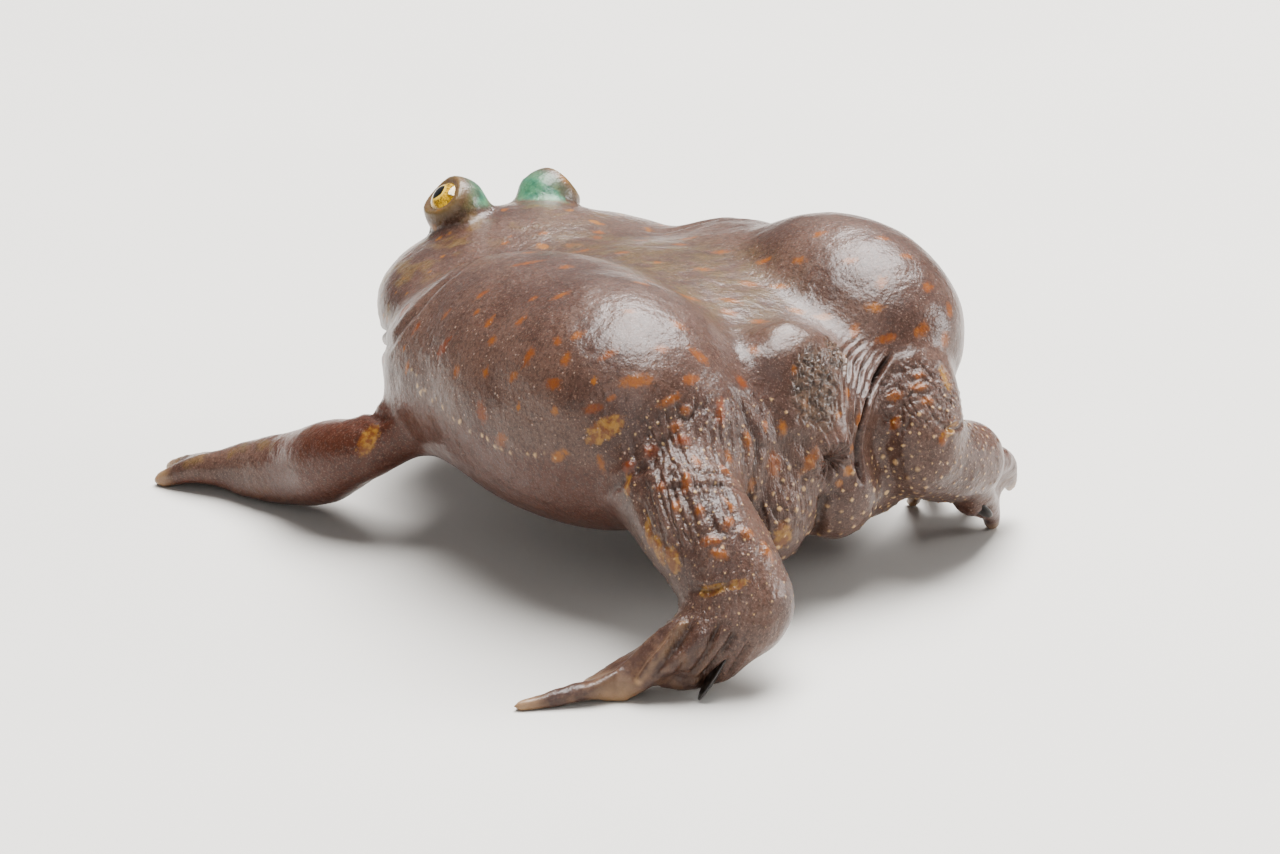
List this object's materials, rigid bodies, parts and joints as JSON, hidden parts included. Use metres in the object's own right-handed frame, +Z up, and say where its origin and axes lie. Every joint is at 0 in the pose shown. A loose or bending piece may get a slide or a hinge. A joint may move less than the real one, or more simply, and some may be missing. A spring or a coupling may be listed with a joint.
{
  "type": "budgetts frog model",
  "caption": "Still model of a puffed-up water frog with a broad flat head, eyes high on the crown, short spread arms and webbed hind feet with black digging spades.",
  "frame": {"origin": "on the floor, under the middle of the model's bounding box", "axes": "+X to the frog's left, +Y to its rear, +Z up; its snout points to -Y"},
  "size_m": [0.0948, 0.1086, 0.0415],
  "materials": {
    "skin": "wet, softly glossy, mottled brown",
    "eye": "glossy",
    "spade": "horny, black"
  },
  "bodies": {
    "root": {"trunk": "skin", "head": "skin", "left_eye": "eye", "right_eye": "eye", "left_arm": "skin", "right_arm": "skin", "left_hand": "skin", "right_hand": "skin", "left_shank": "skin", "right_shank": "skin", "left_foot": "skin", "right_foot": "skin", "left_spade": "spade", "right_spade": "spade"}
  },
  "joints": []
}
